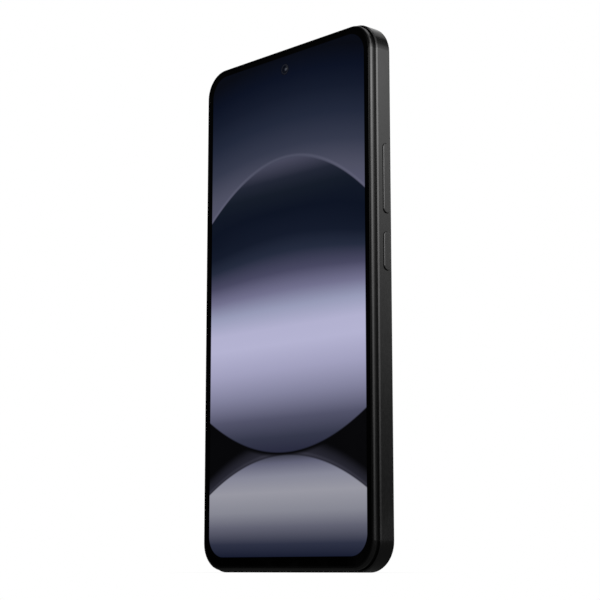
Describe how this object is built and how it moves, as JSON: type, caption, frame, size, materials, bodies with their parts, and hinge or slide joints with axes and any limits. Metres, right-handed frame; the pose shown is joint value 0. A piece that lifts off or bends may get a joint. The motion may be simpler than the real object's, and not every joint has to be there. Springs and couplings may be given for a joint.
{
  "type": "smartphone",
  "caption": "Slab smartphone with a full-face display, flat metal side band, side volume and power keys, card tray, charging port and raised rear camera island.",
  "frame": {"origin": "middle of the bottom edge, on the plane halfway between the front lip and the back cover; the phone stands on this edge at z = 0", "axes": "+X to the right seen from the front, +Y out of the back, +Z from the bottom edge to the top edge; the screen faces -Y"},
  "size_m": [0.076, 0.0097, 0.1624],
  "materials": {
    "frame_metal": "satin",
    "bezel_plastic": "satin",
    "screen_glass": "gloss",
    "back_panel": "satin",
    "island_metal": "satin",
    "trim_metal": "polished",
    "lens_glass": "gloss",
    "key_metal": "satin",
    "display": "gloss",
    "foam": "matte",
    "adhesive": "matte",
    "magnesium": "matte",
    "steel": "satin",
    "shield_steel": "satin",
    "circuit": "satin",
    "chip": "matte",
    "flex": "satin",
    "battery_skin": "satin",
    "graphite": "satin",
    "black_plastic": "matte",
    "gasket_rubber": "matte",
    "port_steel": "satin",
    "contact_gold": "polished",
    "mesh": "matte",
    "camera_body": "satin",
    "flash_plastic": "gloss",
    "lamp": "satin",
    "screw_steel": "satin"
  },
  "bodies": {
    "phone": {"back_cover": "back_panel", "back_cover_adhesive": "adhesive", "back_shield": "shield_steel", "battery_cell": "battery_skin", "battery_flex": "flex", "battery_tapes": "adhesive", "bezel_ring": "bezel_plastic", "bottom_microphone": "shield_steel", "camera_island": "island_metal", "chassis_plate": "magnesium", "coax_cable": "black_plastic", "cover_glass": "screen_glass", "display_adhesive": "adhesive", "display_flex": "flex", "display_foam": "foam", "display_panel": "display", "earpiece": "black_plastic", "earpiece_mesh": "mesh", "fingerprint_reader": "chip", "flash_lamp": "lamp", "flash_window": "flash_plastic", "front_camera": "camera_body", "front_camera_lens": "lens_glass", "front_shield": "shield_steel", "graphite_sheet": "graphite", "key_bracket": "steel", "key_flex": "flex", "key_switches": "steel", "loudspeaker": "black_plastic", "lower_shroud": "black_plastic", "macro_camera": "camera_body", "macro_lens_glass": "lens_glass", "main_board": "circuit", "main_camera": "camera_body", "main_flex": "flex", "main_lens_glass": "lens_glass", "main_lens_ring": "trim_metal", "memory_chip": "chip", "nfc_coil": "flex", "processor": "chip", "shroud_screws": "screw_steel", "side_frame": "frame_metal", "sim_reader": "shield_steel", "speaker_mesh": "mesh", "sub_board": "circuit", "top_microphone": "shield_steel", "upper_shroud": "black_plastic", "usb_contacts": "contact_gold", "usb_gasket": "gasket_rubber", "usb_shell": "port_steel", "usb_tongue": "black_plastic", "vibration_motor": "steel", "wide_camera": "camera_body", "wide_lens_glass": "lens_glass", "wide_lens_ring": "trim_metal"},
    "volume_key": {"volume_key": "key_metal"},
    "power_key": {"power_key": "key_metal"},
    "sim_tray": {"sim_tray": "frame_metal"},
    "autofocus": {"focus_lens": "camera_body"}
  },
  "joints": [
    {"name": "volume_rock", "type": "hinge", "parent": "phone", "child": "volume_key", "pos_m": [0.03565, 0.00155, 0.11415], "axis": [0, 1, 0], "range_deg": [-1.4, 1.4], "stiffness_Nm_per_rad": 0.45},
    {"name": "power_press", "type": "slide", "parent": "phone", "child": "power_key", "axis": [-1, 0, 0], "range_m": [0, 0.00025], "stiffness_N_per_m": 6000},
    {"name": "tray_slide", "type": "slide", "parent": "phone", "child": "sim_tray", "axis": [-1, 0, 0], "range_m": [0, 0.026]},
    {"name": "focus_travel", "type": "slide", "parent": "phone", "child": "autofocus", "axis": [0, 1, 0], "range_m": [0, 0.0003], "stiffness_N_per_m": 200}
  ]
}
